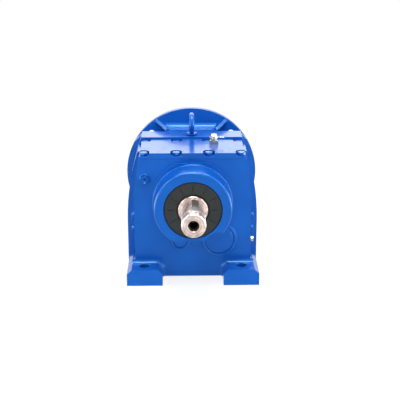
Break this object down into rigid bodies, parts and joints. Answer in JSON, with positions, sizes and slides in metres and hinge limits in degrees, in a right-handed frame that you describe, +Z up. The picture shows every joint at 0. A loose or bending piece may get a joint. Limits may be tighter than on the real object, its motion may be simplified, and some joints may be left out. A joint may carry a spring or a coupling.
{
  "type": "helical gear reducer",
  "caption": "Foot-mounted inline helical gear reducer with a keyed output shaft, bolted top cover, lifting eye and a round motor adapter flange.",
  "frame": {"origin": "centre of the four foot bolt holes, on the mounting plane under the feet", "axes": "+Z up from the mounting plane, -Y along the output shaft out of the housing, +X across the feet"},
  "size_m": [0.25, 0.339, 0.272],
  "materials": {
    "blue_enamel": "thick gloss enamel over a casting",
    "nitrile_rubber": "moulded, satin",
    "nickel_brass": "nickel plated",
    "brass": "turned",
    "zinc_steel": "zinc plated",
    "spring_steel": "phosphated",
    "bearing_steel": "ground and polished",
    "key_steel": "drawn",
    "ground_steel": "ground bright",
    "gear_steel": "hobbed and ground"
  },
  "bodies": {
    "housing_body": {"housing": "blue_enamel", "inspection_cover": "blue_enamel", "cover_gasket": "blue_enamel", "cover_bolts": "blue_enamel", "lifting_eye_bolt": "blue_enamel", "breather_body": "nickel_brass", "breather_cap": "brass", "breather_clip": "zinc_steel", "oil_level_plug": "blue_enamel", "side_plugs": "blue_enamel", "drain_plug": "nickel_brass", "large_bore_cap": "blue_enamel", "small_bore_cap": "blue_enamel", "output_oil_seal": "nitrile_rubber", "output_retaining_ring": "spring_steel", "output_front_bearing_outer": "bearing_steel", "output_rear_bearing_outer": "bearing_steel", "low_front_bearing_outer": "bearing_steel", "low_rear_bearing_outer": "bearing_steel", "high_front_bearing_outer": "bearing_steel", "high_rear_bearing_outer": "bearing_steel", "adapter_gasket": "blue_enamel", "motor_adapter": "blue_enamel", "adapter_bolts": "blue_enamel", "input_oil_seal": "nitrile_rubber", "input_retaining_ring": "spring_steel", "input_front_bearing_outer": "bearing_steel", "input_rear_bearing_outer": "bearing_steel"},
    "output_line": {"output_shaft": "ground_steel", "output_key": "key_steel", "output_front_bearing_inner": "bearing_steel", "output_front_spacer": "gear_steel", "output_gear": "gear_steel", "output_gear_key": "key_steel", "output_rear_spacer": "gear_steel", "output_rear_bearing_inner": "bearing_steel", "output_shaft_ring": "spring_steel"},
    "low_speed_line": {"low_pinion_shaft": "gear_steel", "low_gear": "gear_steel", "low_gear_key": "key_steel", "low_front_bearing_inner": "bearing_steel", "low_rear_bearing_inner": "bearing_steel"},
    "high_speed_line": {"high_pinion_shaft": "gear_steel", "high_gear": "gear_steel", "high_front_bearing_inner": "bearing_steel", "high_rear_bearing_inner": "bearing_steel"},
    "input_line": {"input_shaft": "ground_steel", "input_pinion": "gear_steel", "input_front_bearing_inner": "bearing_steel", "input_rear_bearing_inner": "bearing_steel"},
    "output_front_balls_set": {"output_front_balls": "bearing_steel"},
    "output_rear_balls_set": {"output_rear_balls": "bearing_steel"},
    "low_front_balls_set": {"low_front_balls": "bearing_steel"},
    "low_rear_balls_set": {"low_rear_balls": "bearing_steel"},
    "high_balls_set": {"high_front_balls": "bearing_steel", "high_rear_balls": "bearing_steel"},
    "input_front_balls_set": {"input_front_balls": "bearing_steel"},
    "input_rear_balls_set": {"input_rear_balls": "bearing_steel"}
  },
  "joints": [
    {"name": "output_spin", "type": "hinge", "parent": "housing_body", "child": "output_line", "pos_m": [0, 0, 0.14], "axis": [0, 1, 0], "continuous": true},
    {"name": "low_speed_spin", "type": "hinge", "parent": "housing_body", "child": "low_speed_line", "pos_m": [0.046, 0, 0.072], "axis": [0, 1, 0], "continuous": true},
    {"name": "high_speed_spin", "type": "hinge", "parent": "housing_body", "child": "high_speed_line", "pos_m": [-0.022, 0, 0.07], "axis": [0, 1, 0], "continuous": true},
    {"name": "input_spin", "type": "hinge", "parent": "housing_body", "child": "input_line", "pos_m": [0, 0, 0.14], "axis": [0, 1, 0], "continuous": true},
    {"name": "output_front_balls_roll", "type": "hinge", "parent": "housing_body", "child": "output_front_balls_set", "pos_m": [0, 0, 0.14], "axis": [0, 1, 0], "continuous": true},
    {"name": "output_rear_balls_roll", "type": "hinge", "parent": "housing_body", "child": "output_rear_balls_set", "pos_m": [0, 0, 0.14], "axis": [0, 1, 0], "continuous": true},
    {"name": "low_front_balls_roll", "type": "hinge", "parent": "housing_body", "child": "low_front_balls_set", "pos_m": [0.046, 0, 0.072], "axis": [0, 1, 0], "continuous": true},
    {"name": "low_rear_balls_roll", "type": "hinge", "parent": "housing_body", "child": "low_rear_balls_set", "pos_m": [0.046, 0, 0.072], "axis": [0, 1, 0], "continuous": true},
    {"name": "high_balls_roll", "type": "hinge", "parent": "housing_body", "child": "high_balls_set", "pos_m": [-0.022, 0, 0.07], "axis": [0, 1, 0], "continuous": true},
    {"name": "input_front_balls_roll", "type": "hinge", "parent": "housing_body", "child": "input_front_balls_set", "pos_m": [0, 0, 0.14], "axis": [0, 1, 0], "continuous": true},
    {"name": "input_rear_balls_roll", "type": "hinge", "parent": "housing_body", "child": "input_rear_balls_set", "pos_m": [0, 0, 0.14], "axis": [0, 1, 0], "continuous": true}
  ],
  "couplings": [
    {"joint": "low_speed_spin", "follows": "output_spin", "ratio": -3.1538},
    {"joint": "high_speed_spin", "follows": "output_spin", "ratio": 8.5604},
    {"joint": "input_spin", "follows": "output_spin", "ratio": -13.633},
    {"joint": "output_front_balls_roll", "follows": "output_spin", "ratio": 0.38621},
    {"joint": "output_rear_balls_roll", "follows": "output_spin", "ratio": 0.40769},
    {"joint": "low_front_balls_roll", "follows": "output_spin", "ratio": -1.2452},
    {"joint": "low_rear_balls_roll", "follows": "output_spin", "ratio": -1.2452},
    {"joint": "high_balls_roll", "follows": "output_spin", "ratio": 3.2453},
    {"joint": "input_front_balls_roll", "follows": "output_spin", "ratio": -5.7941},
    {"joint": "input_rear_balls_roll", "follows": "output_spin", "ratio": -5.7941}
  ]
}
